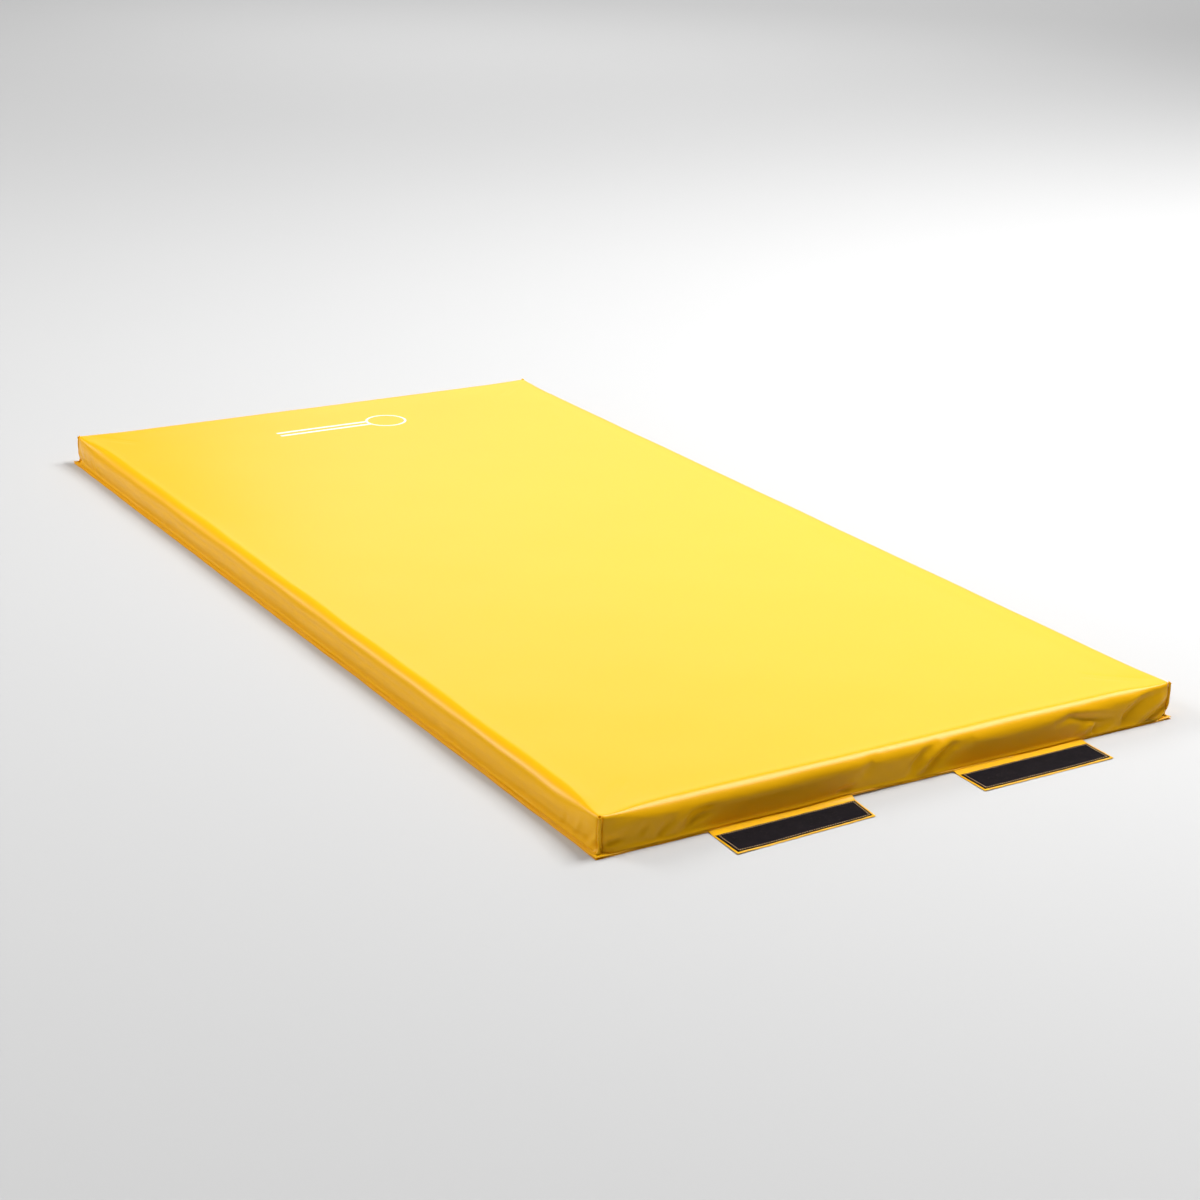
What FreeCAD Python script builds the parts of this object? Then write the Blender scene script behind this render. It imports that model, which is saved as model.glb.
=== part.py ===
"""A gymnastics mat: one foam slab in a sewn cover, with two connector flaps at the front end.

Frame: millimetres, +Z up, +Y along the mat towards its rear end, X across it. The origin is the centre of the
underside of the slab. The flaps reach out of the front end, towards -Y, and each turns about its fold line.
"""
import FreeCAD, Part
import os

from FreeCAD import Vector
import Sketcher

# Driving dimensions, in millimetres: alias, value, what it is.
SIZES = [
    ("mat_length", 2000.0, "length of the covered slab, without its hem"),
    ("mat_width", 1000.0, "width of the covered slab, without its hem"),
    ("foam_thickness", 50.0, "thickness of the foam slab"),
    ("cover_gauge", 0.7, "thickness of the coated cover cloth"),
    ("edge_radius", 8.0, "outer radius of the cover where the top turns into a wall"),
    ("hem_width", 10.0, "how far the sewn hem stands out of the walls"),
    ("hem_layers", 2.0, "layers of cover cloth in the folded hem"),
    ("seam_inset", 5.0, "hem's outer edge to the middle of its stitching"),
    ("corner_seam_radius", 2.0, "radius of the bead of cloth along each corner"),
    ("corner_seam_drop", 2.0, "top of the cover to the top end of a corner bead"),
    ("thread_width", 0.6, "width of a line of stitching"),
    ("thread_height", 0.4, "height of a line of stitching"),
    ("flap_offset", 210.0, "middle of the mat to the middle of a flap"),
    ("flap_width", 240.0, "width of a flap, along the front end"),
    ("flap_reach", 71.0, "hem's outer edge to the flap's outer edge"),
    ("flap_corner_radius", 1.5, "radius of the flap's outer corners"),
    ("fold_clearance", 0.5, "hem's outer edge to the fold line"),
    ("fold_drop", 0.3, "how far the fold line lies under the underside"),
    ("fold_zone", 3.5, "hem's outer edge to where the flap is flat"),
    ("tape_width", 50.0, "width of the hook and the loop tape"),
    ("tape_length", 234.0, "length of each strip of tape"),
    ("tape_gauge", 1.6, "thickness of the tape with its hooks or loops"),
    ("tape_margin", 7.0, "tape to the outer edge of the flap"),
    ("stitch_inset", 4.0, "edge of a tape to the middle of its stitching"),
    ("stitch_depth", 0.6, "depth of the groove that stitching pulls into a tape"),
    ("emblem_gauge", 0.2, "thickness of the printed film"),
    ("emblem_inset", 160.0, "rear end of the mat to the middle of the print"),
    ("ring_centre", 96.0, "middle of the mat to the middle of the printed ring"),
    ("ring_radius", 42.0, "outer radius of the printed ring"),
    ("ring_stroke", 5.0, "width of the printed ring's line"),
    ("stripe_length", 200.0, "length of a printed stripe"),
    ("stripe_width", 8.0, "width of a printed stripe"),
    ("stripe_overlap", 4.0, "how far a stripe runs into the ring"),
    ("stripe_pitch", 20.0, "one printed stripe to the other"),
]

# Heights and places that follow from the driving dimensions: alias, expression, what it is.
DERIVED = [
    ("half_length", "mat_length / 2", "middle of the mat to an end wall"),
    ("half_width", "mat_width / 2", "middle of the mat to a side wall"),
    ("hem_thickness", "hem_layers * cover_gauge", "thickness of the folded hem"),
    ("hem_top", "cover_gauge + hem_thickness", "height of the hem's upper face"),
    ("foam_top", "cover_gauge + foam_thickness", "height of the foam's upper face"),
    ("mat_top", "foam_top + cover_gauge", "height of the cover's upper face"),
    ("front_edge", "0 - half_length - hem_width", "y of the front hem's outer edge"),
    ("flap_end", "front_edge - flap_reach", "y of the flaps' outer edge"),
    ("flap_start", "front_edge - fold_zone", "y where the flaps are flat"),
    ("flap_tape_y", "flap_end + tape_margin + tape_width / 2", "y of the middle of the flap tapes"),
    ("rear_tape_y", "half_length + hem_width + flap_tape_y - front_edge", "y of the rear tapes' middle"),
]

SIDES = {"left": -1, "right": 1}
ENDS = {"front": -1, "rear": 1}


def make_sheet(doc):
    """The spreadsheet of driving dimensions, which every feature reads."""
    sheet = doc.addObject("Spreadsheet::Sheet", "Sizes")
    row = 1
    for alias, value, note in SIZES:
        sheet.set(f"A{row}", note)
        sheet.set(f"B{row}", str(value))
        sheet.setAlias(f"B{row}", alias)
        row += 1
    for alias, expression, note in DERIVED:
        sheet.set(f"A{row}", note)
        sheet.set(f"B{row}", "=" + expression)
        sheet.setAlias(f"B{row}", alias)
        row += 1
    doc.recompute()
    return sheet


def bound(expression):
    """The expression with each alias written the way another object reads it from the sheet."""
    words = {alias for alias, _, _ in SIZES + DERIVED}
    return " ".join("Sizes." + w if w in words else w for w in expression.split())


def bind(obj, prop, expression):
    obj.setExpression(prop, bound(expression))


def value_of(obj, expression):
    return float(obj.evalExpression(bound(expression)))


def new_body(doc, label):
    body = doc.addObject("PartDesign::Body", label)
    body.Label = label
    return body


def new_sketch(body, name, height):
    """A sketch parallel to the ground, at the height that the expression gives."""
    sketch = body.newObject("Sketcher::SketchObject", name)
    ground = next(f for f in body.Origin.OriginFeatures if f.Role == "XY_Plane")
    sketch.AttachmentSupport = (ground, [""])
    sketch.MapMode = "FlatFace"
    bind(sketch, "AttachmentOffset.Base.z", height)
    return sketch


def add_rectangle(sketch, key, centre, size):
    """A constrained rectangle, from expressions for its centre (x, y) and its size (x, y)."""
    low = [f"{c} - ( {s} ) / 2" for c, s in zip(centre, size)]
    x0, y0 = (value_of(sketch, e) for e in low)
    x1, y1 = x0 + value_of(sketch, size[0]), y0 + value_of(sketch, size[1])
    corners = [Vector(x0, y0), Vector(x1, y0), Vector(x1, y1), Vector(x0, y1)]
    first = sketch.GeometryCount
    for start, end in zip(corners, corners[1:] + corners[:1]):
        sketch.addGeometry(Part.LineSegment(start, end), False)
    for i in range(4):
        sketch.addConstraint(Sketcher.Constraint("Coincident", first + i, 2, first + (i + 1) % 4, 1))
    for i in (0, 2):
        sketch.addConstraint(Sketcher.Constraint("Horizontal", first + i))
        sketch.addConstraint(Sketcher.Constraint("Vertical", first + i + 1))
    driving = [
        ("left", Sketcher.Constraint("DistanceX", -1, 1, first, 1, x0), low[0]),
        ("near", Sketcher.Constraint("DistanceY", -1, 1, first, 1, y0), low[1]),
        ("width", Sketcher.Constraint("DistanceX", first, 1, first, 2, x1 - x0), size[0]),
        ("depth", Sketcher.Constraint("DistanceY", first + 1, 1, first + 1, 2, y1 - y0), size[1]),
    ]
    for word, constraint, expression in driving:
        index = sketch.addConstraint(constraint)
        sketch.renameConstraint(index, f"{key}_{word}")
        bind(sketch, f"Constraints.{key}_{word}", expression)


def add_frame(sketch, centre, size, line):
    """Two rectangles, one in the other, for a strip of the line's width that runs along the given size."""
    add_rectangle(sketch, "outer", centre, [f"{s} + {line}" for s in size])
    add_rectangle(sketch, "inner", centre, [f"{s} - {line}" for s in size])


def pad(body, name, sketch, length):
    feature = body.newObject("PartDesign::Pad", name)
    feature.Profile = sketch
    feature.Type = "Length"
    bind(feature, "Length", length)
    sketch.Document.recompute()
    return feature


def pocket(body, name, sketch, depth, upwards):
    """Cuts the sketch's outline out of the body, up or down from the sketch."""
    before = body.Shape.Volume
    feature = body.newObject("PartDesign::Pocket", name)
    feature.Profile = sketch
    feature.Type = "Length"
    feature.Reversed = upwards
    bind(feature, "Length", depth)
    sketch.Document.recompute()
    if body.Shape.Volume >= before:
        raise RuntimeError(f"{body.Label}: {name} cut nothing")
    return feature


def fillet(body, name, base, radius, chosen):
    """Rounds those edges of base for which chosen(edge) is true."""
    edges = [f"Edge{i}" for i, e in enumerate(base.Shape.Edges, 1) if chosen(e)]
    feature = body.newObject("PartDesign::Fillet", name)
    feature.Base = (base, edges)
    bind(feature, "Radius", radius)
    base.Document.recompute()
    return feature


def lies_at(edge, height):
    return all(abs(v.Point.z - height) < 1e-6 for v in edge.Vertexes)


def stands_up(edge):
    ends = [v.Point for v in edge.Vertexes]
    return len(ends) == 2 and abs(abs((ends[1] - ends[0]).normalize().z) - 1) < 1e-6


def slab_size(clearance=None):
    """Expressions for the slab's outline, drawn in by clearance on every side."""
    taken = f" - 2 * {clearance}" if clearance else ""
    return [f"mat_width{taken}", f"mat_length{taken}"]


def rear_tape_places():
    """Expressions for the centre of each loop tape under the rear end."""
    return {side: [f"{sign} * flap_offset", "rear_tape_y"] for side, sign in SIDES.items()}


def make_filling(doc, name):
    """A body with the shape of the space inside the cover."""
    body = new_body(doc, name)
    outline = new_sketch(body, name + "_outline", "cover_gauge")
    add_rectangle(outline, "slab", ["0", "0"], slab_size("cover_gauge"))
    block = pad(body, name + "_block", outline, "foam_thickness")
    top = value_of(body, "foam_top")
    fillet(body, name + "_edges", block, "edge_radius - cover_gauge", lambda e: lies_at(e, top))
    return body


def make_foam_core(doc):
    """The foam slab, with the two shallow dents that the rear tapes press into it."""
    body = make_filling(doc, "foam_core")
    dents = new_sketch(body, "tape_dents", "cover_gauge")
    for side, centre in rear_tape_places().items():
        size = ["tape_length + 2 * cover_gauge", "tape_width + 2 * cover_gauge"]
        add_rectangle(dents, side, centre, size)
    pocket(body, "tape_dents_cut", dents, "tape_gauge", upwards=True)
    return body


def make_top_cover(doc):
    """The top and the four walls, cut from one sheet, with the folded hem that is sewn to the base sheet."""
    outside = new_body(doc, "cover_outside")
    outline = new_sketch(outside, "cover_outline", "cover_gauge")
    add_rectangle(outline, "cover", ["0", "0"], slab_size())
    block = pad(outside, "cover_block", outline, "mat_top - cover_gauge")
    top = value_of(outside, "mat_top")
    fillet(outside, "cover_edges", block, "edge_radius", lambda e: lies_at(e, top))
    hem = new_sketch(outside, "hem_outline", "cover_gauge")
    add_rectangle(hem, "hem", ["0", "0"], ["mat_width + 2 * hem_width", "mat_length + 2 * hem_width"])
    pad(outside, "hem", hem, "hem_thickness")
    slots = new_sketch(outside, "root_slots", "cover_gauge")
    for side, sign in SIDES.items():
        centre = [f"{sign} * flap_offset", "0 - half_length - hem_width / 2"]
        add_rectangle(slots, side, centre, ["flap_width", "hem_width"])
    pocket(outside, "root_slots_cut", slots, "cover_gauge", upwards=True)
    cover = doc.addObject("Part::Cut", "top_cover")
    cover.Base = outside
    cover.Tool = make_filling(doc, "cover_inside")
    cover.Label = "top_cover"
    return cover


def make_base_sheet(doc):
    """The bottom sheet, out to the hem's edge, pushed up where the rear tapes are sewn under it."""
    body = new_body(doc, "base_sheet")
    outline = new_sketch(body, "base_outline", "0")
    add_rectangle(outline, "base", ["0", "0"], ["mat_width + 2 * hem_width", "mat_length + 2 * hem_width"])
    pad(body, "base_plate", outline, "cover_gauge")
    raised = new_sketch(body, "raised_outline", "cover_gauge")
    sunk = new_sketch(body, "sunk_outline", "0")
    for side, centre in rear_tape_places().items():
        size = ["tape_length + 2 * cover_gauge", "tape_width + 2 * cover_gauge"]
        add_rectangle(raised, side, centre, size)
        add_rectangle(sunk, side, centre, ["tape_length", "tape_width"])
    pad(body, "raised_beds", raised, "tape_gauge")
    pocket(body, "tape_beds", sunk, "tape_gauge", upwards=True)
    return body


def make_corner_seam(doc, end, side):
    """The bead of cloth along one corner, where two walls are sewn together."""
    along, across = ENDS[end], SIDES[side]
    name = f"corner_seam_{end}_{side}"
    bead = doc.addObject("Part::Cylinder", name + "_bead")
    bind(bead, "Radius", "corner_seam_radius")
    bind(bead, "Height", "mat_top - corner_seam_drop - hem_top")
    bind(bead, "Placement.Base.x", f"{across} * half_width")
    bind(bead, "Placement.Base.y", f"{along} * half_length")
    bind(bead, "Placement.Base.z", "hem_top")
    block = doc.addObject("Part::Box", name + "_block")
    for prop in ("Length", "Width"):
        bind(block, prop, "2 * corner_seam_radius")
    bind(block, "Height", "mat_top")
    low_x = f"{across} * ( half_width - corner_seam_radius ) - corner_seam_radius"
    low_y = f"{along} * ( half_length - corner_seam_radius ) - corner_seam_radius"
    bind(block, "Placement.Base.x", low_x)
    bind(block, "Placement.Base.y", low_y)
    cut = doc.addObject("Part::Cut", name)
    cut.Base = bead
    cut.Tool = block
    cut.Label = name
    return cut


def make_perimeter_seam_thread(doc):
    """The line of stitching along the middle of the hem."""
    body = new_body(doc, "perimeter_seam_thread")
    line = new_sketch(body, "seam_line", "hem_top")
    reach = "2 * ( hem_width - seam_inset )"
    add_frame(line, ["0", "0"], [f"mat_width + {reach}", f"mat_length + {reach}"], "thread_width")
    pad(body, "seam", line, "thread_height")
    return body


def make_flap_root(doc, side):
    """The end of a flap that is sewn in between the hem and the base sheet."""
    body = new_body(doc, f"flap_root_{side}")
    outline = new_sketch(body, f"root_outline_{side}", "cover_gauge")
    centre = [f"{SIDES[side]} * flap_offset", "0 - half_length - hem_width / 2"]
    add_rectangle(outline, "root", centre, ["flap_width", "hem_width"])
    pad(body, f"root_{side}", outline, "cover_gauge")
    return body


def make_flap_panel(doc, side):
    """The free part of a flap, flat on the ground, outside its fold."""
    body = new_body(doc, f"flap_panel_{side}")
    outline = new_sketch(body, f"panel_outline_{side}", "0")
    centre = [f"{SIDES[side]} * flap_offset", "( flap_start + flap_end ) / 2"]
    add_rectangle(outline, "panel", centre, ["flap_width", "flap_start - flap_end"])
    sheet = pad(body, f"panel_{side}", outline, "cover_gauge")
    end = value_of(body, "flap_end")

    def is_outer_corner(edge):
        return stands_up(edge) and abs(edge.Vertexes[0].Point.y - end) < 1e-6

    fillet(body, f"panel_corners_{side}", sheet, "flap_corner_radius", is_outer_corner)
    return body


def stitched_size():
    """Expressions for the size of the stitching round a strip of tape."""
    return [f"{size} - 2 * stitch_inset" for size in ("tape_length", "tape_width")]


def make_tape(doc, name, centre, bottom, face_up):
    """A strip of hook or loop tape, with the groove that its stitching pulls into its working face."""
    body = new_body(doc, name)
    outline = new_sketch(body, name + "_outline", bottom)
    add_rectangle(outline, "tape", centre, ["tape_length", "tape_width"])
    pad(body, name + "_strip", outline, "tape_gauge")
    face = f"{bottom} + tape_gauge" if face_up else bottom
    line = new_sketch(body, name + "_stitch_line", face)
    add_frame(line, centre, stitched_size(), "thread_width")
    pocket(body, name + "_groove", line, "stitch_depth", upwards=not face_up)
    return body


def make_tape_thread(doc, name, centre, bottom, face_up):
    """The stitching round a strip of tape, lying at the bottom of its groove."""
    body = new_body(doc, name)
    low = f"{bottom} + tape_gauge - stitch_depth" if face_up else f"{bottom} + stitch_depth - thread_height"
    line = new_sketch(body, name + "_line", low)
    add_frame(line, centre, stitched_size(), "thread_width")
    pad(body, name + "_stitches", line, "thread_height")
    return body


def make_printed_emblem(doc):
    """A plain printed sign near the rear end: a ring, and two stripes that run into it."""
    row = "half_length - emblem_inset"
    discs = []
    for name, radius in (("ring_outside", "ring_radius"), ("ring_inside", "ring_radius - ring_stroke")):
        disc = doc.addObject("Part::Cylinder", name)
        bind(disc, "Radius", radius)
        bind(disc, "Height", "emblem_gauge")
        bind(disc, "Placement.Base.x", "ring_centre")
        bind(disc, "Placement.Base.y", row)
        bind(disc, "Placement.Base.z", "mat_top")
        discs.append(disc)
    ring = doc.addObject("Part::Cut", "ring")
    ring.Base, ring.Tool = discs
    printed = [ring]
    for name, sign in (("stripe_near", -1), ("stripe_far", 1)):
        stripe = doc.addObject("Part::Box", name)
        bind(stripe, "Length", "stripe_length")
        bind(stripe, "Width", "stripe_width")
        bind(stripe, "Height", "emblem_gauge")
        bind(stripe, "Placement.Base.x", "ring_centre - ring_radius + stripe_overlap - stripe_length")
        bind(stripe, "Placement.Base.y", f"{row} + {sign} * stripe_pitch / 2 - stripe_width / 2")
        bind(stripe, "Placement.Base.z", "mat_top")
        printed.append(stripe)
    emblem = doc.addObject("Part::MultiFuse", "printed_emblem")
    emblem.Shapes = printed
    emblem.Label = "printed_emblem"
    return emblem


def make_parts(doc):
    """Every sub-part, in the order that the mat is put together."""
    parts = [make_foam_core(doc), make_top_cover(doc), make_base_sheet(doc)]
    parts += [make_corner_seam(doc, end, side) for end in ENDS for side in SIDES]
    parts += [make_perimeter_seam_thread(doc), make_printed_emblem(doc)]
    for side, sign in SIDES.items():
        flap_tape = [f"{sign} * flap_offset", "flap_tape_y"]
        rear_tape = rear_tape_places()[side]
        parts += [
            make_flap_root(doc, side),
            make_flap_panel(doc, side),
            make_tape(doc, f"hook_tape_{side}", flap_tape, "cover_gauge", face_up=True),
            make_tape_thread(doc, f"hook_tape_thread_{side}", flap_tape, "cover_gauge", face_up=True),
            make_tape(doc, f"loop_tape_{side}", rear_tape, "0", face_up=False),
            make_tape_thread(doc, f"loop_tape_thread_{side}", rear_tape, "0", face_up=False),
        ]
    return parts


def check(doc, parts):
    """Stops the build if a feature failed or a sub-part is not a sound solid."""
    for obj in doc.Objects:
        if {"Invalid", "Error"} & set(obj.State):
            raise RuntimeError(f"{obj.Name} failed: {obj.State}")
    for part in parts:
        shape = part.Shape
        if shape.isNull() or not shape.isValid() or not shape.Solids:
            raise RuntimeError(f"{part.Label} is not a valid solid")


def main():
    doc = FreeCAD.newDocument("gym_mat")
    make_sheet(doc)
    parts = make_parts(doc)
    doc.recompute()
    check(doc, parts)
    os.makedirs("parts", exist_ok=True)
    for part in parts:
        part.Shape.exportStep(os.path.join("parts", part.Label + ".step"))
        box = part.Shape.BoundBox
        print(f"{part.Label:26s} {box.XLength:8.1f} {box.YLength:8.1f} {box.ZLength:6.2f} mm, "
              f"z from {box.ZMin:.2f}, {len(part.Shape.Solids)} solid(s), {part.Shape.Volume:.0f} mm3")


main()
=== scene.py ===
"""The looks of the gym mat: a crowned, sewn cover over its foam, with flaps, tapes, stitching and a print.

Everything is in metres in the frame's own axes: +Y along the mat towards its rear end, +Z up.
"""
import math

import bmesh
import bpy
import numpy as np
from mathutils import Matrix, Vector
from mathutils.bvhtree import BVHTree


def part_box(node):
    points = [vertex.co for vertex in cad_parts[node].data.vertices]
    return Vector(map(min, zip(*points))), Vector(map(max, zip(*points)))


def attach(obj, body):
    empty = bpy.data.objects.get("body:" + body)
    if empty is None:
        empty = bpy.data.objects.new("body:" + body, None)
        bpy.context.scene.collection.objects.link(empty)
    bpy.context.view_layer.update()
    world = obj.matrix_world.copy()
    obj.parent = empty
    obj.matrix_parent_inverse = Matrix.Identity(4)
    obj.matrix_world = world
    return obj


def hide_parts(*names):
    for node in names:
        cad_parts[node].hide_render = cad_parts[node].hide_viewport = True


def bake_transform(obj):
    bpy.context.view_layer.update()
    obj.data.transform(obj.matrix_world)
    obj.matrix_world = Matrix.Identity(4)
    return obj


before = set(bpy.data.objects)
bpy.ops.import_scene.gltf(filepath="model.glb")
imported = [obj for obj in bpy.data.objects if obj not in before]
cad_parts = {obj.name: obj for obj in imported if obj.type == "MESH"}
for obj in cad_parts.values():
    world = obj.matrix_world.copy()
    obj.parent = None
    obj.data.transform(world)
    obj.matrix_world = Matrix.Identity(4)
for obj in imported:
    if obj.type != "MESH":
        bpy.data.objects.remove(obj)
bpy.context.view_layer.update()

MM = 0.001
SEED = 11

# -------------------- places that the frame gives

cover_low, cover_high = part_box("top_cover")
foam_low, foam_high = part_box("foam_core")
_, base_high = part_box("base_sheet")
thread_low, thread_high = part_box("perimeter_seam_thread")
SIDES = ("left", "right")

CLOTH = foam_low.z                       # thickness of the coated cloth
HALF_WIDTH = foam_high.x + CLOTH         # centre line to a side wall
HALF_LENGTH = foam_high.y + CLOTH        # centre to an end wall
TOP = cover_high.z
HEM_REACH = cover_high.x - HALF_WIDTH    # wall to the hem's outer edge
HEM_TOP = thread_low.z
SEAM_AT = thread_high.x - HALF_WIDTH - 0.3 * MM     # wall to the middle of the hem's stitching

panel_low, panel_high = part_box("flap_panel_right")
tape_low, tape_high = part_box("hook_tape_right")
loop_low, loop_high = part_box("loop_tape_right")
sewn_low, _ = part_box("hook_tape_thread_right")
FLAP_AT = (panel_low.x + panel_high.x) / 2          # centre line to the middle of a flap
FLAP_HALF = (panel_high.x - panel_low.x) / 2
FLAP_END = panel_low.y
HEM_FRONT = cover_low.y
STITCH_INSET = sewn_low.y - tape_low.y + 0.3 * MM   # a tape's edge to the middle of its stitching


def smooth(x):
    """0 below 0, 1 above 1, and a smooth step between."""
    x = np.clip(x, 0.0, 1.0)
    return x * x * (3 - 2 * x)


def bump(x, centre, reach):
    """A smooth hill, 1 at its centre and near 0 beyond its reach."""
    return np.exp(-(((x - centre) / reach) ** 2))


def wander(x, wavelengths, rng):
    """A sum of sine waves of these lengths, with random phases, within about 1 of zero."""
    total = sum(np.sin(2 * math.pi * (x / w + rng.random())) for w in wavelengths)
    return total / len(wavelengths) ** 0.5


# -------------------- meshes

def new_object(name, points, faces, material, sharp=()):
    """A smooth-shaded mesh object. sharp holds the pairs of points whose edges stay sharp."""
    mesh = bpy.data.meshes.new(name)
    mesh.from_pydata(np.asarray(points, float).tolist(), [], faces)
    mesh.update()
    mesh.polygons.foreach_set("use_smooth", [True] * len(mesh.polygons))
    if len(sharp):
        wanted = {(min(a, b), max(a, b)) for a, b in sharp}
        flags = [(min(e.vertices), max(e.vertices)) in wanted for e in mesh.edges]
        mesh.attributes.new("sharp_edge", "BOOLEAN", "EDGE").data.foreach_set("value", flags)
    mesh.materials.append(material)
    obj = bpy.data.objects.new(name, mesh)
    bpy.context.scene.collection.objects.link(obj)
    return obj


def loop_faces(rows, columns, offset=0):
    """Quads between rows of points that each run round in a closed loop."""
    return [
        (offset + i * columns + j, offset + i * columns + (j + 1) % columns,
         offset + (i + 1) * columns + (j + 1) % columns, offset + (i + 1) * columns + j)
        for i in range(rows - 1) for j in range(columns)
    ]


def grid_faces(rows, columns, offset=0):
    """Quads of an open grid of points, row after row."""
    return [
        (offset + i * columns + j, offset + i * columns + j + 1,
         offset + (i + 1) * columns + j + 1, offset + (i + 1) * columns + j)
        for i in range(rows - 1) for j in range(columns - 1)
    ]


def grid_rim(rows, columns):
    """The points round the edge of a grid, anticlockwise from its first."""
    last = rows * columns - 1
    return [
        *range(columns - 1), *range(columns - 1, last, columns),
        *range(last, last - columns + 1, -1), *range(last - columns + 1, 0, -columns),
    ]


def closed_sheet(x, y, low, high):
    """Points and faces of a thin sheet over a grid of places, between two heights, closed round its edge."""
    rows, columns = x.shape
    points = np.concatenate([np.stack([x, y, z], axis=2).reshape(-1, 3) for z in (low, high)])
    count = rows * columns
    edge = grid_rim(rows, columns)
    faces = [tuple(reversed(f)) for f in grid_faces(rows, columns)] + grid_faces(rows, columns, count)
    faces += [(a, b, count + b, count + a) for a, b in zip(edge, edge[1:] + edge[:1])]
    return points, faces


# -------------------- the way round the mat

CORNER_CURL = 1.9 * MM      # how far the hem lifts at the corners
RAGGED = 0.6 * MM           # how far the hem's edge wanders in and out


class Round:
    """Points round the mat's outline, anticlockwise from its front left corner, with each corner once."""

    def __init__(self, per_end, per_side):
        normals = [(0, -1), (1, 0), (0, 1), (-1, 0)]
        tangents = [(1, 0), (0, 1), (-1, 0), (0, -1)]
        halves = [HALF_WIDTH, HALF_LENGTH] * 2
        away = [HALF_LENGTH, HALF_WIDTH] * 2
        counts = [per_end, per_side] * 2
        even = [np.linspace(-1, 1, n, endpoint=False) for n in counts]
        crowd = [0.0, 0.6] * 2      # the long sides' points crowd towards their corners
        share = [s + c * np.sin(math.pi * s) / math.pi for s, c in zip(even, crowd)]
        self.counts = counts
        self.size = sum(counts)
        self.side = np.repeat(np.arange(4), counts)
        self.share = np.concatenate(share)
        self.normal = np.array(normals, float)[self.side]
        self.tangent = np.array(tangents, float)[self.side]
        self.half = np.array(halves)[self.side]
        self.away = np.array(away)[self.side]
        self.at = self.share * self.half                       # place along its own side
        starts = np.concatenate([[0], np.cumsum(2 * np.array(halves))[:3]])
        self.along = starts[self.side] + self.at + self.half   # distance from the first corner
        self.to_corner = self.half - np.abs(self.at)
        self.corners = np.concatenate([[0], np.cumsum(counts)[:3]])

    def points(self, out, height):
        """The ring at distance out from the walls and at that height."""
        out = np.broadcast_to(out, self.size)
        height = np.broadcast_to(height, self.size)
        flat = (self.tangent * (self.share * (self.half + out))[:, None]
                + self.normal * (self.away + out)[:, None])
        return np.column_stack([flat, height])


def hem_edge(way):
    """How far the hem reaches out of the walls, and how far it lifts off the base, round the mat."""
    rng = np.random.default_rng(SEED)
    inside = smooth(way.to_corner / (40 * MM))
    ragged = RAGGED * wander(way.along, (0.61, 0.37, 0.21, 0.083), rng)
    reach = HEM_REACH + inside * (ragged - 1.5 * RAGGED)
    lift = 0.25 * MM + 0.25 * MM * wander(way.along, (0.52, 0.19, 0.11), rng)
    lift = np.clip(lift, 0.05 * MM, None) * inside + CORNER_CURL * bump(way.to_corner, 0, 16 * MM)
    return reach, lift * (1 - over_flap(way)) + front_lift(way.at) * (way.side == 0)


def front_lift(x):
    """How far the front edge stands off the floor: the stiff tapes prop it up between the flaps."""
    props = ((2.4, -0.085, 0.075), (1.2, 0.09, 0.07), (0.8, 0.26, 0.1), (0.9, -0.26, 0.1))
    return sum(height * bump(x, centre, reach) for height, centre, reach in props) * MM


def over_flap(way):
    """1 where the hem has a flap sewn into it, and 0 elsewhere."""
    off = np.abs(np.abs(way.at) - FLAP_AT) - FLAP_HALF
    return smooth(1 - off / (5 * MM)) * (way.side == 0)


# Drag folds in the front wall, in millimetres: the places (along the wall, up the cloth from the hem) that
# each runs through, its half-width and its height. A height below 0 is a valley.
FRONT_FOLDS = [
    # corner by the right flap
    ([(406, 0), (419, 18), (431, 28), (446, 37), (467, 42)], 6.0, -4.8),
    ([(425, 0), (442, 14), (464, 25), (486, 34)], 6.0, 4.0),
    ([(451, -2), (469, 6), (484, 16), (502, 19)], 5.5, -4.8),
    ([(471, -2), (488, 5), (502, 4)], 4.0, 2.6),
    # right end of the right flap
    ([(284, 30), (314, 35), (355, 25), (392, 21)], 6.0, -4.6),
    ([(322, 7), (340, 15), (360, 20)], 5.0, 3.8),
    ([(351, -1), (359, 15)], 3.0, -3.4),
    ([(362, 2), (392, 9)], 5.0, 2.0),
    # left end of the right flap
    ([(38, 3), (63, 21), (91, 35), (124, 35)], 6.5, -4.8),
    ([(22, 6), (45, 24), (73, 37)], 5.0, 3.8),
    ([(10, 10), (35, 34), (62, 42)], 5.5, -3.8),
    ([(-72, 22), (-48, 40)], 8.0, -2.8),
    # right end of the left flap
    ([(-114, 7), (-86, 10)], 3.0, -2.8),
    ([(-98, 14), (-82, 17)], 3.5, 1.4),
    # left end of the left flap
    ([(-371, 7), (-352, 21), (-318, 30)], 7.0, -4.0),
    ([(-390, 10), (-372, 24), (-352, 33)], 6.0, 2.2),
    ([(-414, 2), (-402, 16), (-388, 26)], 6.0, -2.8),
    ([(-440, 13), (-425, 32)], 6.0, -2.4),
    # corner by the left flap
    ([(-492, 14), (-462, 16)], 4.0, -3.0),
    ([(-496, 6), (-462, 8)], 3.5, 1.8),
    ([(-490, 26), (-450, 34)], 6.0, 1.8),
]


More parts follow.
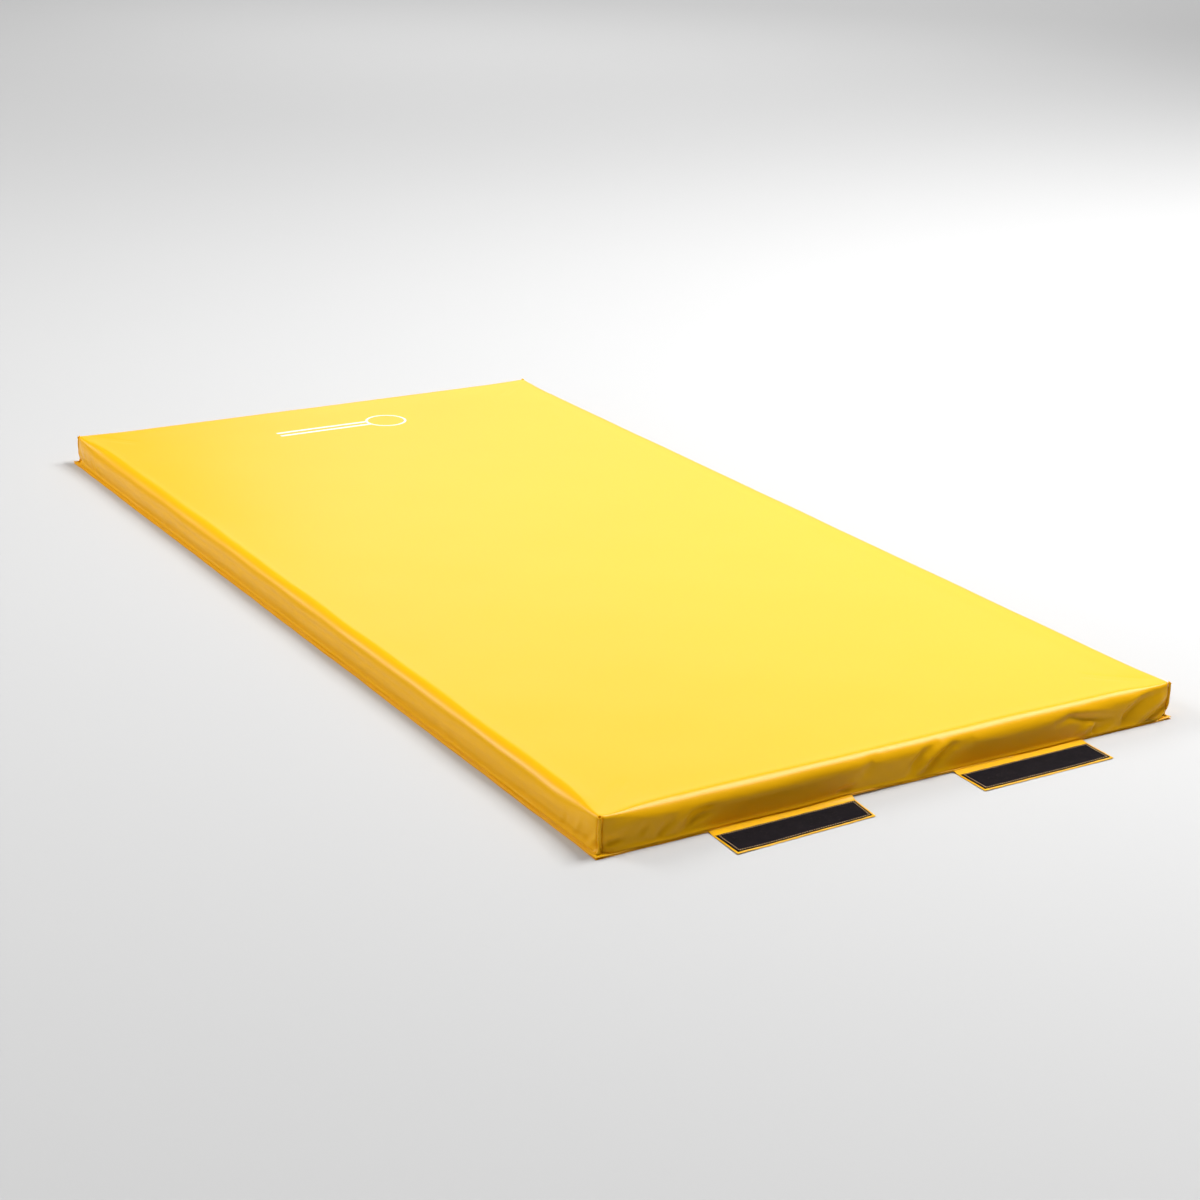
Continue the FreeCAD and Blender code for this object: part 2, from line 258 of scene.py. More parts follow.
def other_folds(side, half):
    """Shallow folds of the same kind for a side or the rear wall: more at its corners, a few along it."""
    rng = np.random.default_rng(SEED + 10 * side)
    folds = []
    reach = half / MM
    for end in (-1, 1):
        for k in range(5):
            foot = end * (reach - rng.uniform(6, 26) - 24 * k)
            lean = end * rng.uniform(12, 30)
            height = rng.uniform(0.7, 1.8) * (-1) ** k
            line = [(foot, rng.uniform(1, 6)), (foot + 0.6 * lean, 15), (foot + lean, rng.uniform(22, 36))]
            folds.append((line, rng.uniform(4, 7), height))
    for _ in range(int(reach / 55)):
        foot = rng.uniform(-reach + 140, reach - 140)
        lean = rng.uniform(-26, 26)
        height = rng.uniform(0.3, 0.8) * rng.choice((-1, 1))
        line = [(foot, rng.uniform(0, 5)), (foot + lean, rng.uniform(12, 28))]
        folds.append((line, rng.uniform(12, 20), height))
    return folds


def fold_height(at, up, folds):
    """The folds' height at places along a wall (at) and up the cloth (up), in metres."""
    total = np.zeros_like(at)
    for line, width, height in folds:
        line = np.array(line) * MM
        lengths = np.linalg.norm(np.diff(line, axis=0), axis=1)
        nearest, share = np.full_like(at, 1e9), np.zeros_like(at)
        for k, length in enumerate(lengths):
            way = (line[k + 1] - line[k]) / length
            along = (at - line[k, 0]) * way[0] + (up - line[k, 1]) * way[1]
            held = np.clip(along, 0, length)
            off = np.hypot(at - line[k, 0] - way[0] * held, up - line[k, 1] - way[1] * held)
            closer = off < nearest
            nearest = np.where(closer, off, nearest)
            share = np.where(closer, (lengths[:k].sum() + held) / lengths.sum(), share)
        grown = 0.35 + 0.65 * smooth(share / 0.3) * smooth((1 - share) / 0.4)
        total += height * MM * grown * bump(nearest, 0, width * MM)
    return total


# -------------------- the cover

FULLNESS = 2.6 * MM         # how far the stuffed cover stands above the flat one
CROWN = 1.4 * MM            # how much higher its middle is than its edges
CORNER_POINT = 1.7 * MM     # how far its corners are drawn up
EDGE_RADII = np.array([13.0, 7.0, 8.0, 18.0]) * MM     # front, right, rear and left edge of the top
CORNER_RADIUS = 4.5 * MM    # radius of the top's edge at the corners
LEAN_RIGHT = 13.0 * MM      # how far the right wall hangs out over its foot
LEAN_REAR = 8.0 * MM        # and the rear wall
HEM_ROWS = 10               # rings of points round the hem, from inside it to the foot of the walls
WALL_ROWS = 14
ARC_ROWS = 8
INSET_SHARES = [0.06, 0.14, 0.26, 0.44, 0.68, 1.0]     # rings on the top, from the rounded edge to the last
LAST_INSET = 78 * MM        # walls to the last of these rings
CORNER_FADE = 30 * MM       # the walls have their full bulge, tuck and flare this far from a corner
CORNER_TUCK = 1.6 * MM      # how far the walls are tucked in at the corners
PINCH = 3.6 * MM            # how far the walls turn in beside the rolled corner seams


def edge_radius(way):
    """The radius where the top turns into a wall: small at the corners, large where the foam gives."""
    rng = np.random.default_rng(SEED + 1)
    inner = EDGE_RADII[way.side] * (1 + 0.09 * wander(way.along, (0.9, 0.41, 0.23), rng))
    by_flaps = 6.5 * bump(way.at, 0.95 * FLAP_AT, 0.13) + 3.0 * bump(way.at, -FLAP_AT, 0.15)
    inner = inner + (way.side == 0) * by_flaps * MM
    return CORNER_RADIUS + (inner - CORNER_RADIUS) * smooth(way.to_corner / 0.12)


def top_height(x, y):
    """Height of the cover's top: crowned over full foam, with points at its corners and a slow unevenness."""
    from_side, from_end = HALF_WIDTH - np.abs(x), HALF_LENGTH - np.abs(y)
    crown = CROWN * (1 - (x / HALF_WIDTH) ** 2) * (1 - (y / HALF_LENGTH) ** 4)
    point = CORNER_POINT * np.exp(-np.hypot(from_side, from_end) / (26 * MM))
    rng = np.random.default_rng(SEED + 2)
    uneven = np.zeros_like(x)
    for _ in range(7):
        angle, wave = rng.uniform(0, math.pi), rng.uniform(0.16, 0.55)
        phase = rng.uniform(0, 2 * math.pi)
        uneven += np.sin((x * math.cos(angle) + y * math.sin(angle)) * 2 * math.pi / wave + phase)
    edge = np.minimum(from_side, from_end)
    return TOP + FULLNESS + crown + point + 0.10 * MM * uneven * smooth(edge / 0.06)


def leaned(points):
    """The stuffed cover hangs out over its hem on the right and at the rear."""
    points = np.array(points, float)
    up = smooth((points[:, 2] - 2.2 * MM) / (10 * MM))
    points[:, 0] += LEAN_RIGHT * up * smooth((points[:, 0] - 0.40) / 0.09)
    points[:, 1] += LEAN_REAR * up * smooth((points[:, 1] - 0.88) / 0.10)
    return points


def cover_rings(way):
    """The cover's rings of points, from inside the hem, round it, up the walls and over the edge to the top.

    A wall bulges out high up, is tucked in above its foot, and flares out towards the foot.
    """
    reach, lift = hem_edge(way)
    radius = edge_radius(way)
    inside = smooth(way.to_corner / CORNER_FADE)
    front = way.side == 0
    rng = np.random.default_rng(SEED + 3)
    bulge = (2.0 + 0.5 * wander(way.along, (0.8, 0.33, 0.17), rng)) * MM * inside + 0.3 * MM
    tuck = np.where(front, 0.4, 1.3) * MM * (1 + 0.25 * wander(way.along, (0.63, 0.27, 0.13), rng))
    tuck = CORNER_TUCK + (tuck - CORNER_TUCK) * inside
    flare = np.where(front, 7.0, 2.0) * MM * (1 + 0.15 * wander(way.along, (0.55, 0.21), rng)) * inside
    rings = []

    low = CLOTH * (1 + over_flap(way)) + 0.05 * MM + lift
    high = HEM_TOP + lift + 0.15 * MM * over_flap(way)
    dent = 0.35 * MM            # how deep the stitching sinks in, and the rounding of the hem's edge
    hem = [
        (-1.5 * MM, low), (reach - 0.9 * MM, low), (reach - 0.15 * MM, low + dent),
        (reach, (low + high) / 2), (reach - 0.15 * MM, high - dent), (reach - 0.9 * MM, high),
        (5.9 * MM, high), (5.0 * MM, high - dent), (4.1 * MM, high), (2.4 * MM, high + 0.1 * MM),
    ]
    assert len(hem) == HEM_ROWS
    for out, height in hem:
        rings.append(way.points(out, height))

    pinch = PINCH * bump(way.to_corner, 0, 4.5 * MM)
    root = HEM_TOP + lift * 0.6 + 0.6 * MM
    top = top_height(*way.points(-radius, 0)[:, :2].T)
    wall_high = top - radius
    other_halves = ((1, HALF_LENGTH), (2, HALF_WIDTH), (3, HALF_LENGTH))
    folds = [FRONT_FOLDS] + [other_folds(side, half) for side, half in other_halves]

    def folded(up):
        total = np.zeros(way.size)
        for side, lines in enumerate(folds):
            here = way.side == side
            total[here] = fold_height(way.at[here], up[here], lines)
        return total * smooth(way.to_corner / (9 * MM)) * smooth(up / (2.5 * MM))

    def wall_out(height):
        share = (height - root) / (TOP - root)
        belly = bump(share, 0.74, 0.26)
        return (2.0 * MM * np.exp(-share / 0.05) + bulge * belly + flare * (1 - share).clip(0, 1) ** 1.7
                - tuck * bump(share, 0.14, 0.12))

    for i in range(WALL_ROWS):
        height = root + (wall_high - root) * (i / (WALL_ROWS - 1)) ** 1.15
        up = height - root
        out = wall_out(height) + folded(up) - pinch * smooth(up / (4 * MM))
        rings.append(leaned(way.points(out, height)))
    start = wall_out(wall_high)
    for i in range(1, ARC_ROWS + 1):
        turn = math.pi / 2 * i / ARC_ROWS
        up = wall_high - root + radius * turn
        high = folded(up) * smooth((1.3 - i / ARC_ROWS) / 1.3)
        out = -radius * (1 - math.cos(turn)) + start * (1 - math.sin(turn)) + high * math.cos(turn)
        out = out - pinch * math.cos(turn)
        height = wall_high + radius * math.sin(turn) + high * math.sin(turn)
        rings.append(leaned(way.points(out, height)))
    for share in INSET_SHARES:
        ring = way.points(-radius - share * (LAST_INSET - radius), 0)
        ring[:, 2] = top_height(ring[:, 0], ring[:, 1])
        rings.append(leaned(ring))
    return rings


def fill_middle(way, ring, height_at, first):
    """The middle of the last ring: a grid with half as many points each way, and triangles round it."""
    step = 8 * MM
    across, along = way.counts[0] // 2, way.counts[1] // 2
    places = []
    for side, axis in ((0, 0), (1, 1)):
        low, high = ring[:, axis].min() + step, ring[:, axis].max() - step
        share = np.append(way.share[way.side == side][::2], 1)
        places.append((low + high) / 2 + share * (high - low) / 2)
    gx, gy = np.meshgrid(*places)
    middle = np.column_stack([gx.ravel(), gy.ravel(), height_at(gx, gy).ravel()])
    faces = grid_faces(along + 1, across + 1, first)
    edge = [first + k for k in grid_rim(along + 1, across + 1)]
    for k, a in enumerate(edge):
        b = edge[(k + 1) % len(edge)]
        p, q, r = (first - way.size + (2 * k + n) % way.size for n in range(3))
        faces += [(p, q, a), (q, b, a), (q, r, b)]
    return middle, faces


def make_cover(way, material):
    """The top, the walls and the hem, one sheet from the hem's underside to the middle of the top."""
    rings = cover_rings(way)
    faces = loop_faces(len(rings), way.size)
    walls = len(rings) - 1 - len(INSET_SHARES)
    sharp = [(i * way.size + c, (i + 1) * way.size + c) for c in way.corners for i in range(walls)]
    middle, more = fill_middle(way, rings[-1], top_height, len(rings) * way.size)
    return new_object("cover_sheet", np.concatenate(rings + [middle]), faces + more, material, sharp)


SIMULATED_FRAMES = 8
SEWN_ROWS = HEM_ROWS + 3    # rings of points that stay put: the hem and the foot of the walls
SEAM_HOLD = 12 * MM         # how far from a corner the points stay put too
FOAM_HOLD = 0.04            # how firmly the foam holds the rest, from 0 to 1
MOST_MOVE = 1.4 * MM        # how far the simulation may move a point of the cover
SIMULATED_CLOTH = {
    "quality": 3, "mass": 0.4, "tension_stiffness": 30, "compression_stiffness": 30, "bending_stiffness": 2,
    "use_pressure": True, "uniform_pressure_force": 4,
}


def settle(cover, way):
    """Lets the filling press the sewn cover out as simulated cloth, and keeps that shape within small moves.

    The points by the corner seams hardly move, and those on the top a quarter as far as those on the walls.
    """
    mesh = cover.data
    before = np.empty(3 * len(mesh.vertices))
    mesh.vertices.foreach_get("co", before)
    rings = HEM_ROWS + WALL_ROWS + ARC_ROWS + len(INSET_SHARES)
    held = np.zeros(len(mesh.vertices), bool)
    held[:SEWN_ROWS * way.size] = True
    held[:rings * way.size] |= np.tile(way.to_corner < SEAM_HOLD, rings)
    group = cover.vertex_groups.new(name="sewn")
    group.add(np.flatnonzero(held).tolist(), 1.0, "REPLACE")
    group.add(np.flatnonzero(~held).tolist(), FOAM_HOLD, "REPLACE")
    cloth = cover.modifiers.new("cloth", "CLOTH")
    for key, value in SIMULATED_CLOTH.items():
        setattr(cloth.settings, key, value)
    cloth.settings.vertex_group_mass = group.name
    cloth.settings.effector_weights.gravity = 0
    cloth.collision_settings.use_collision = False
    cloth.point_cache.frame_end = SIMULATED_FRAMES
    for number in range(1, SIMULATED_FRAMES + 1):
        bpy.context.scene.frame_set(number)
    shown = cover.evaluated_get(bpy.context.evaluated_depsgraph_get()).data
    after = np.empty_like(before)
    shown.vertices.foreach_get("co", after)
    move = (after - before).reshape(-1, 3)
    length = np.linalg.norm(move, axis=1, keepdims=True)
    from_side = HALF_WIDTH - np.abs(before[0::3])
    from_end = HALF_LENGTH - np.abs(before[1::3])
    off_corner = smooth((np.maximum(from_side, from_end) - SEAM_HOLD) / (60 * MM))
    on_top = smooth((np.minimum(from_side, from_end) - 4 * MM) / (30 * MM))
    free = off_corner * (1 - 0.75 * on_top)
    move *= free[:, None] * MOST_MOVE * np.tanh(length / MOST_MOVE) / np.maximum(length, 1e-9)
    mesh.vertices.foreach_set("co", before + move.ravel())
    mesh.update()
    cover.modifiers.remove(cloth)
    cover.vertex_groups.remove(group)
    bpy.context.scene.frame_set(1)


# -------------------- base and foam

def make_base(way, material):
    """The bottom sheet: flat on the ground out to the hem's edge, raised over the two rear tapes."""
    reach, _ = hem_edge(way)
    half_x, half_y = HALF_WIDTH + HEM_REACH, HALF_LENGTH + HEM_REACH
    bed_x, bed_y = [loop_low.x, loop_high.x], [loop_low.y, loop_high.y]
    step = 0.4 * MM
    x = np.concatenate([np.linspace(-half_x, half_x, 81), [e * (half_x - step) for e in (-1, 1)]]
                       + [[s * b - step, s * b + step] for s in (-1, 1) for b in bed_x])
    y = np.concatenate([np.linspace(-half_y, half_y, 161), [e * (half_y - step) for e in (-1, 1)]]
                       + [[b - step, b + step] for b in bed_y])
    gx, gy = np.meshgrid(np.sort(x), np.sort(y))
    over_tape = ((np.abs(gx) > bed_x[0]) & (np.abs(gx) < bed_x[1]) & (gy > bed_y[0]) & (gy < bed_y[1]))
    rise = over_tape * (base_high.z - CLOTH)
    rim = (np.abs(gx) > half_x - step / 2) | (np.abs(gy) > half_y - step / 2)
    sides = [(gx, -gy, half_y), (gy, gx, half_x), (-gx, gy, half_y), (-gy, -gx, half_x)]
    for side, (at, off, half) in enumerate(sides):
        here = way.side == side
        shy = np.interp(at, way.at[here], (HEM_REACH - reach)[here]) - 0.5 * MM
        shy = np.maximum(shy, 0) * (off > half - 2 * step)
        if side % 2:
            gx = gx - np.sign(gx) * shy
        else:
            gy = gy - np.sign(gy) * shy
    rise = rise + front_lift(gx) * smooth((-gy - HALF_LENGTH + 22 * MM) / (22 * MM))
    low, high = rise + rim * 0.15 * MM, rise + CLOTH - 0.05 * MM - rim * 0.15 * MM
    return new_object("base_cloth", *closed_sheet(gx, gy, low, high), material)


def make_foam(material):
    """The foam slab: a block with rounded top edges, just inside the cover."""
    low = foam_low + Vector((4.5, 4.5, 1.9)) * MM
    high = foam_high - Vector((4.5, 4.5, 1.8)) * MM
    shape = bmesh.new()
    bmesh.ops.create_cube(shape, size=1)
    for v in shape.verts:
        v.co = Vector([high[i] if v.co[i] > 0 else low[i] for i in range(3)])
    rim = [e for e in shape.edges if all(v.co.z > low.z + MM for v in e.verts)]
    bmesh.ops.bevel(shape, geom=rim, offset=14 * MM, segments=6, profile=0.5, affect="EDGES")
    shape.verts.index_update()
    points = [v.co[:] for v in shape.verts]
    faces = [[v.index for v in f.verts] for f in shape.faces]
    shape.free()
    return new_object("foam_block", points, faces, material)


# -------------------- small repeated shapes

def tube_faces(rows, sides):
    """Faces of a tube with closed ends, whose points go round it anticlockwise as seen from its far end."""
    last = (rows - 1) * sides
    return loop_faces(rows, sides) + [tuple(range(sides - 1, -1, -1)), tuple(range(last, last + sides))]


def stitch_shape(length, radius):
    """One stitch along +X: a bowed thread whose ends go down into the cloth."""
    sides, steps = 5, (-1.0, -0.8, -0.35, 0.35, 0.8, 1.0)
    points = []
    for t in steps:
        thick = radius * (1 - 0.45 * abs(t) ** 3)
        sink = 1.5 * radius * abs(t) ** 2.5
        for k in range(sides):
            turn = 2 * math.pi * k / sides
            points.append((t * length / 2, thick * math.cos(turn), thick * math.sin(turn) * 0.85 - sink))
    return np.array(points), tube_faces(len(steps), sides)


def hook_shape(height):
    """One hook: a bent three-sided monofilament that leans over towards +X."""
    line = [(0.0, -0.25, 0.11), (-0.06, 0.55, 0.09), (0.10, 0.96, 0.08), (0.38, 0.86, 0.06)]
    points = []
    for x, z, thick in line:
        for k in range(3):
            turn = 2 * math.pi * k / 3
            points.append((x + thick * math.cos(turn), thick * math.sin(turn), z))
    return height * np.array(points), tube_faces(len(line), 3)


def loop_shape(height):
    """One brushed loop: a flat arch of yarn."""
    points = []
    steps = 5
    for i in range(steps):
        turn = math.pi * i / (steps - 1)
        for y, rise in ((-0.13, 0.0), (0.13, 0.0), (0.0, 0.12)):
            points.append((-0.7 * math.cos(turn), y, math.sin(turn) - 0.2 + rise))
    return height * np.array(points), tube_faces(steps, 3)


def strewn(shape, places, turns, up=1.0):
    """Copies of a small shape at these places, each turned about the vertical; up of -1 hangs them."""
    points, faces = shape
    c, s = np.cos(turns)[:, None], np.sin(turns)[:, None]
    x, y, z = points.T[:, None, :]
    copies = np.stack([x * c - y * s, x * s + y * c, z * up + 0 * c], axis=2)
    copies = copies + np.asarray(places)[:, None, :]
    starts = np.arange(len(turns)) * len(points)
    kept = faces if up > 0 else [tuple(reversed(f)) for f in faces]
    all_faces = [tuple(int(start) + i for i in f) for start in starts for f in kept]
    return copies.reshape(-1, 3), all_faces


def joined(parts):
    """One list of points and one of faces, from several."""
    points, faces, start = [], [], 0
    for some_points, some_faces in parts:
        points.append(np.asarray(some_points, float))
        faces += [tuple(start + i for i in f) for f in some_faces]
        start += len(some_points)
    return np.concatenate(points), faces


def stitches_along(path, pitch, shape, rng, up=1.0, closed=False):
    """Stitches at even steps along a line of points, each a little out of true."""
    path = np.asarray(path, float)
    if closed:
        path = np.concatenate([path, path[:1]])
    run = np.concatenate([[0], np.cumsum(np.linalg.norm(np.diff(path, axis=0), axis=1))])
    count = max(2, int(round(run[-1] / pitch)))
    at = (np.arange(count) + 0.5) * run[-1] / count
    places = np.stack([np.interp(at, run, path[:, k]) for k in range(3)], axis=1)
    ahead = np.stack([np.interp(at + 0.5 * MM, run, path[:, k]) for k in range(2)], axis=1)
    back = np.stack([np.interp(at - 0.5 * MM, run, path[:, k]) for k in range(2)], axis=1)
    turns = np.arctan2(*(ahead - back).T[::-1]) + rng.normal(0, 0.035, count)
    places[:, :2] += rng.normal(0, 0.05 * MM, (count, 2))
    return strewn(shape, places, turns, up)


# -------------------- seams

HEM_PITCH = 4.4 * MM        # distance between the hem's stitches


def make_seam(way, material):
    """The stitching along the hem."""
    _, lift = hem_edge(way)
    path = way.points(SEAM_AT, HEM_TOP + lift + 0.15 * MM * over_flap(way) - 0.05 * MM)
    rng = np.random.default_rng(SEED + 20)
    points, faces = stitches_along(path, HEM_PITCH, stitch_shape(3.5 * MM, 0.30 * MM), rng, closed=True)
    return new_object("hem_stitching", points, faces, material)


ROLL_RADIUS = 2.9 * MM      # of the rolled seam allowance, at its foot
ROLL_TAPER = 0.35 * MM      # how much thinner it is at its top
ROLL_OFFSET = 2.5 * MM      # how far its middle stands out of the corner
ROLL_CLOTH = 0.75 * MM      # thickness of its cloth
ROLL_TOP = [1.6 * MM, 3.4 * MM]     # its last two rings, above the top of the wall


def make_corner(way, name, corner, rings, material):
    """The rolled seam allowance up one corner: a thin-walled tube of cloth, open and cut slanting on top."""
    column = way.corners[corner]
    line = np.array([ring[column] for ring in rings[HEM_ROWS:HEM_ROWS + WALL_ROWS]])
    line = np.concatenate([line, [line[-1] + (0, 0, rise) for rise in ROLL_TOP]])
    outward = way.normal[column] + way.normal[column - 1]
    outward = np.append(outward / np.linalg.norm(outward), 0.0)
    aside = np.array([-outward[1], outward[0], 0.0])
    run = np.linspace(0, 1, len(line))
    rng = np.random.default_rng(SEED + 30 + corner)
    sway = 0.35 * MM * wander(run * 0.05, (0.031, 0.017), rng)
    outer = ROLL_RADIUS - ROLL_TAPER * run
    line = line + outward * ROLL_OFFSET
    rows, sides = len(line), 14
    skins = []
    for thin in (0.0, ROLL_CLOTH):
        skin = []
        for k, at in enumerate(line):
            flare = 1.18 if k >= rows - len(ROLL_TOP) else 1.0
            radius = (outer[k] - thin) * flare
            for n in range(sides):
                turn = 2 * math.pi * n / sides
                out, side = math.cos(turn), math.sin(turn)
                slant = (0.9 - 1.6 * out) * MM if k == rows - 1 else 0.0
                point = at + outward * radius * out * 0.85 + aside * (radius * side + sway[k])
                skin.append(point + (0, 0, slant))
        skins.append(skin)
    faces = loop_faces(rows, sides)
    faces += [tuple(reversed(f)) for f in loop_faces(rows, sides, rows * sides)]
    top, inner = (rows - 1) * sides, rows * sides
    for n in range(sides):
        m = (n + 1) % sides
        faces.append((top + n, top + m, inner + top + m, inner + top + n))
        faces.append((m, n, inner + n, inner + m))
    return new_object(name, np.concatenate(skins), faces, material)


# -------------------- flaps and tapes

ROOT_HEIGHT = CLOTH * 1.5       # middle of the flap's cloth where it is sewn in
FLAT_HEIGHT = CLOTH / 2 + 0.05 * MM

# How far each flap's corners lie from where they would be if it were straight, in millimetres: along X at its
# root and at its outer edge, and along Y at its outer edge, each at its left and its right end.
ASKEW = {
    "left": {"root_x": (-3.5, -3.0), "edge_x": (-6.5, -12.0), "edge_y": (-4.0, 4.5)},
    "right": {"root_x": (-2.5, 2.0), "edge_x": (-4.5, -2.5), "edge_y": (-2.5, -1.5)},
}


def flap_centre(side):
    """Where the middle of a flap lies along X."""
    return -FLAP_AT if side == "left" else FLAP_AT


def flap_height(side, x, y):
    """Height of the middle of a flap's cloth: out of the hem, down over the fold, then almost flat."""
    local = x - flap_centre(side)
    down = smooth((HEM_FRONT + 1 * MM - y) / (13 * MM))
    free = smooth((HEM_FRONT - 8 * MM - y) / (60 * MM))
    rng = np.random.default_rng(SEED + 40 + (side == "right"))
    wave = (0.20 * (1 + wander(local, (0.21, 0.13), rng)) + 0.7 * bump(local, -FLAP_HALF, 26 * MM)
            + 0.5 * bump(local, FLAP_HALF, 22 * MM))
    root = ROOT_HEIGHT + front_lift(x)
    return root + (FLAT_HEIGHT - root) * down + wave * MM * free


def laid(side, x, y):
    """Where a place on a straight flap (x, y) lies on the real one, with its height there."""
    skew = ASKEW[side]
    u = (x - flap_centre(side)) / (2 * FLAP_HALF) + 0.5
    v = np.clip((HEM_FRONT - y) / (HEM_FRONT - FLAP_END), 0, None)

    def across(name):
        left_end, right_end = skew[name]
        return (left_end + (right_end - left_end) * u) * MM

    x_laid = x + across("root_x") * (1 - v) + across("edge_x") * v
    y_laid = y + across("edge_y") * v
    return np.stack([x_laid, y_laid, flap_height(side, x_laid, y)], axis=-1)


FLAP_TOP = HEM_FRONT + 8.5 * MM     # its inner edge, sewn in between hem and base


def make_flap(side, material):
    """One flap: a single piece of cloth from inside the hem, over its fold, to its outer edge."""
    rng = np.random.default_rng(SEED + 50 + (side == "right"))
    y = np.concatenate([
        [FLAP_END], np.linspace(FLAP_END + 0.8 * MM, HEM_FRONT - 12 * MM, 22),
        np.linspace(HEM_FRONT - 11 * MM, HEM_FRONT, 18), np.linspace(HEM_FRONT + 1 * MM, FLAP_TOP, 6),
    ])
    share = np.concatenate([[-1], np.linspace(-0.992, 0.992, 59), [1]])
    gx, gy = np.meshgrid(flap_centre(side) + FLAP_HALF * share, y)
    frayed = 0.25 * MM * wander(gx[0], (0.05, 0.023, 0.011), rng)
    gy = gy + frayed[None] * smooth((FLAP_END + 12 * MM - gy) / (12 * MM))
    place = laid(side, gx, gy)
    half = np.full_like(gx, CLOTH / 2)
    half[:, [0, -1]] *= 0.45
    half[0] *= 0.45
    under = np.maximum(place[..., 2] - half, 0.02 * MM)
    sheet = closed_sheet(place[..., 0], place[..., 1], under, place[..., 2] + half)
    return new_object(f"flap_cloth_{side}", *sheet, material)


BACKING = 0.75 * MM             # woven backing of a tape
SELVEDGE = 1.8 * MM             # its plain edge
PILE = tape_high.z - tape_low.z - BACKING
WIDER_OUT = 3.2 * MM            # how much wider a flap's tape is than the model's, towards the flap's edge
WIDER_IN = 1.2 * MM             # and towards the mat
ROW_FROM_EDGE = 1.7 * MM        # flap's outer edge to its row of stitches
STITCH_PITCH = 4.0 * MM


def strip_grid(low, high, rng):
    """Places over a strip of tape with slightly uneven long edges, and how full its thickness is at each."""
    columns = 79
    across = np.array([0, 0.006, 0.03, 0.06, 0.12, 0.3, 0.5, 0.7, 0.88, 0.94, 0.97, 0.994, 1])[:, None]
    gx = np.broadcast_to(np.linspace(low.x, high.x, columns), (len(across), columns))
    wave = 0.25 * MM * wander(gx[0], (0.09, 0.041, 0.019), rng)
    gy = low.y + (high.y - low.y) * across + wave[None] * np.abs(2 * across - 1) ** 4
    rim = np.minimum(np.minimum(across, 1 - across) * (high.y - low.y), np.minimum(gx - low.x, high.x - gx))
    return gx, gy, 0.35 + 0.65 * smooth(rim / (0.5 * MM))


def pile_places(low, high, pitch_x, pitch_y, rng):
    """Places for hooks or loops, in rows that stop short of the tape's edges, and each place's row."""
    gx, gy = np.meshgrid(np.arange(low.x + SELVEDGE, high.x - SELVEDGE, pitch_x),
                         np.arange(low.y + SELVEDGE, high.y - SELVEDGE, pitch_y))
    row = np.broadcast_to(np.arange(len(gy))[:, None], gx.shape)
    gx = gx + row % 2 * pitch_x / 2 + rng.normal(0, 0.12 * MM, gx.shape)
    gy = gy + rng.normal(0, 0.10 * MM, gy.shape)
    return gx.ravel(), gy.ravel(), row.ravel()


def tape_extent(side):
    """Corners of the tape on a flap: a few millimetres wider than the model's, as in the photo."""
    low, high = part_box(f"hook_tape_{side}")
    return low - Vector((0, WIDER_OUT, 0)), high + Vector((0, WIDER_IN, 0))


def stitched_box(side):
    """Centre and half sizes of the stitching round the tape on a flap."""
    low, high = tape_extent(side)
    centre = (low + high) / 2
    return centre, (high.x - low.x) / 2 - STITCH_INSET, (high.y - low.y) / 2 - 0.7 * STITCH_INSET


def make_hook_tape(side, material):
    """The hook tape on a flap: woven backing with plain edges, and rows of hooks that lean both ways."""
    low, high = tape_extent(side)
    rng = np.random.default_rng(SEED + 60 + (side == "right"))
    gx, gy, full = strip_grid(low, high, rng)
    place = laid(side, gx, gy)
    bottom = place[..., 2] + CLOTH / 2 + 0.02 * MM
    strip = closed_sheet(place[..., 0], place[..., 1], bottom, bottom + BACKING * full)
    x, y, row = pile_places(low, high, 1.55 * MM, 1.25 * MM, rng)
    centre, half_x, half_y = stitched_box(side)
    near = 0.55 * MM
    flat = (np.abs(np.abs(y - centre.y) - half_y) < near) | (np.abs(np.abs(x - centre.x) - half_x) < near)
    x, y, row = x[~flat], y[~flat], row[~flat]
    turns = row % 2 * math.pi + rng.normal(0, 0.35, x.size)
    places = laid(side, x, y) + np.array([0, 0, CLOTH / 2 + BACKING])
    points, faces = joined([strip, strewn(hook_shape(PILE), places, turns)])
    return new_object(f"hook_strip_{side}", points, faces, material)


def rectangle(centre, half_x, half_y, steps=40):
    """Points round a rectangle, anticlockwise."""
    t = np.linspace(-1, 1, steps, endpoint=False)
    one = np.ones(steps)
    sides = [(t, -one), (one, t), (-t, one), (-one, -t)]
    return np.concatenate([np.column_stack([centre.x + half_x * a, centre.y + half_y * b]) for a, b in sides])


def make_flap_stitches(side, material):
    """The stitching round a flap's tape, with a second row along the outer edge, on the bare cloth."""
    rng = np.random.default_rng(SEED + 70 + (side == "right"))
    centre, half_x, half_y = stitched_box(side)
    ring = rectangle(centre, half_x, half_y)
    path = laid(side, ring[:, 0], ring[:, 1]) + np.array([0, 0, CLOTH / 2 + BACKING + 0.12 * MM])
    first = stitches_along(path, STITCH_PITCH, stitch_shape(3.6 * MM, 0.58 * MM), rng, closed=True)
    x = np.linspace(centre.x - half_x, centre.x + half_x, 60)
    edge = laid(side, x, np.full_like(x, FLAP_END + ROW_FROM_EDGE)) + np.array([0, 0, CLOTH / 2 + 0.1 * MM])
    second = stitches_along(edge, STITCH_PITCH, stitch_shape(3.6 * MM, 0.40 * MM), rng)
    points, faces = joined([first, second])
    return new_object(f"flap_stitching_{side}", points, faces, material)


